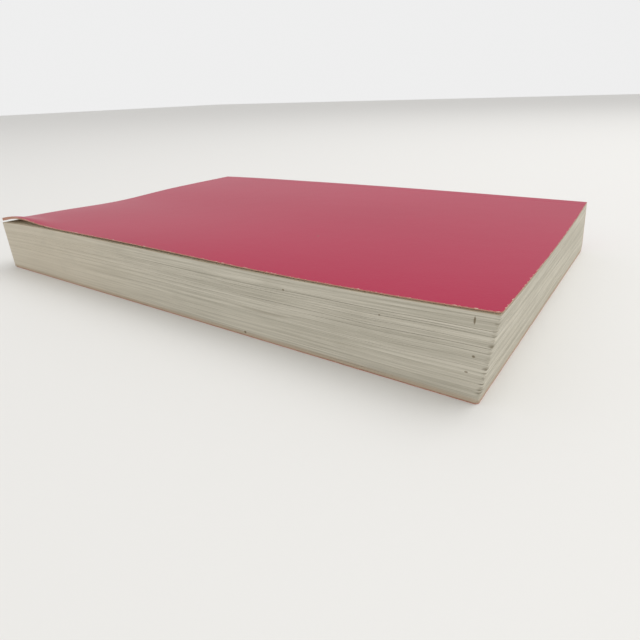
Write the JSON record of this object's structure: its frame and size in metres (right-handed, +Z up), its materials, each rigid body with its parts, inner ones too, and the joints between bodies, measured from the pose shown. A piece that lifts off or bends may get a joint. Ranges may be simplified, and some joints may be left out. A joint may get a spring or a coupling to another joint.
{
  "type": "paperback book",
  "caption": "Closed softcover book lying on its front cover, with a glued leaf block and card covers that hinge open at creases beside the spine.",
  "frame": {"origin": "bottom centre of the closed book, on the surface it lies on", "axes": "+X along the spine from the head to the tail, +Y from the fore edge to the spine, +Z up through the thickness, from the front cover to the back cover"},
  "size_m": [0.2286, 0.1524, 0.0261],
  "materials": {
    "cover_card": "satin film over a crimson print, on card whose inside and cut edges are aged tan",
    "leaf_paper": "matte uncoated paper, aged, streaked along its trimmed edges",
    "glue": "dull translucent hot-melt"
  },
  "bodies": {
    "book_block": {"page_block": "leaf_paper", "binding_glue": "glue", "spine_cover": "cover_card"},
    "front_cover": {"front_cover": "cover_card"},
    "back_cover": {"back_cover": "cover_card"}
  },
  "joints": [
    {"name": "back_cover_hinge", "type": "hinge", "parent": "book_block", "child": "back_cover", "pos_m": [0, 0.0697, 0.02295], "axis": [-1, 0, 0], "range_deg": [0, 178]},
    {"name": "front_cover_hinge", "type": "hinge", "parent": "book_block", "child": "front_cover", "pos_m": [0, 0.0697, -0.00005], "axis": [1, 0, 0], "range_deg": [0, 178]}
  ]
}
